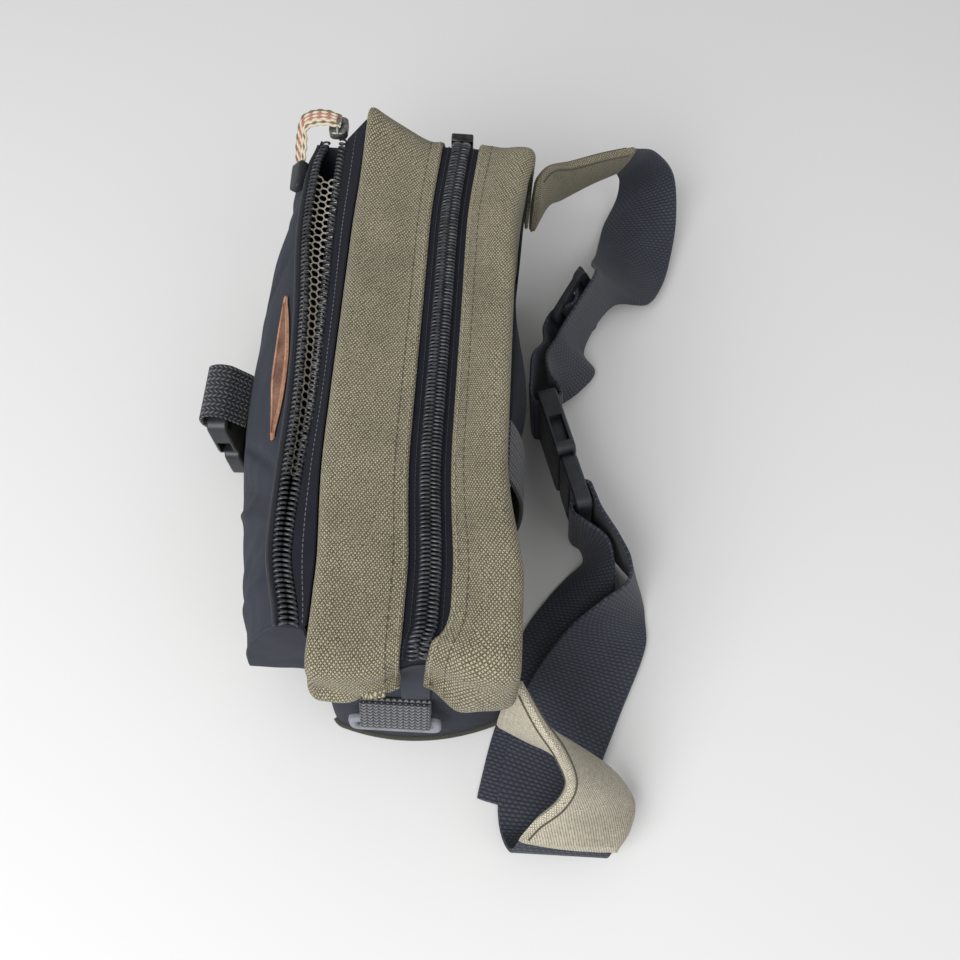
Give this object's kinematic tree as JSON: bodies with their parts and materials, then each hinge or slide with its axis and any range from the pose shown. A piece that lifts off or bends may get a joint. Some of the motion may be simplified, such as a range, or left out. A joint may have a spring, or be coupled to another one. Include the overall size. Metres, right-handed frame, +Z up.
{
  "type": "belt bag",
  "caption": "Soft canvas belt bag with a zipped main compartment, an unzipped net-backed front pocket, padded hip wings and a webbing belt closed by a side release buckle.",
  "frame": {"origin": "middle of the flat underside of the bag's base, on the surface it stands on", "axes": "+X along the bag towards the end nearest the camera, +Y towards the wearer's back, +Z up"},
  "size_m": [0.341, 0.2189, 0.1156],
  "materials": {
    "khaki_canvas": "coarse basket-woven canvas, matt",
    "black_nylon": "fine twill nylon, matt",
    "black_webbing": "ribbed webbing",
    "grey_webbing": "chevron-woven webbing",
    "zip": "nylon coil zip on woven tape",
    "black_plastic": "moulded, satin",
    "grey_plastic": "moulded, satin",
    "slider_metal": "worn die-cast metal",
    "net": "knitted net",
    "label_leather": "smooth leather-like label, bare",
    "pull_braid": "flat braid in cream, red and olive"
  },
  "bodies": {
    "root": {"gusset_front": "khaki_canvas", "gusset_back": "khaki_canvas", "main_zip_tape": "zip", "main_zip_coil": "zip", "main_zip_slider": "slider_metal", "base_panel": "black_nylon", "front_panel": "black_nylon", "back_panel": "khaki_canvas", "pocket_top": "black_nylon", "pocket_front": "khaki_canvas", "pocket_bottom": "black_nylon", "pocket_end_near": "black_nylon", "pocket_end_far": "black_nylon", "pocket_tape_back": "black_nylon", "pocket_coil_back": "zip", "pocket_coil_front": "zip", "pocket_tape_front": "black_nylon", "pocket_slider": "slider_metal", "zip_pull": "pull_braid", "zip_pull_tip": "black_plastic", "pocket_mesh": "net", "label": "label_leather", "buckle_female": "black_plastic", "buckle_male": "black_plastic", "belt_slider": "black_plastic", "belt_far": "black_webbing", "belt_near": "black_webbing", "belt_tail": "black_webbing", "wing_far": "khaki_canvas", "wing_near": "khaki_canvas", "ring_tab_near": "grey_webbing", "ring_tab_far": "grey_webbing", "front_buckle_female": "black_plastic", "front_buckle_male": "black_plastic", "front_strap": "grey_webbing", "front_strap_lower": "grey_webbing", "back_pad": "black_nylon", "back_loop": "grey_webbing"},
    "ring_near": {"ring_near": "grey_plastic"},
    "ring_far": {"ring_far": "grey_plastic"}
  },
  "joints": [
    {"name": "ring_near_swing", "type": "hinge", "parent": "root", "child": "ring_near", "pos_m": [0.1207, -0.0075, 0.05], "axis": [0, -1, 0], "range_deg": [0, 100]},
    {"name": "ring_far_swing", "type": "hinge", "parent": "root", "child": "ring_far", "pos_m": [-0.1207, -0.0075, 0.05], "axis": [0, 1, 0], "range_deg": [0, 100]}
  ]
}
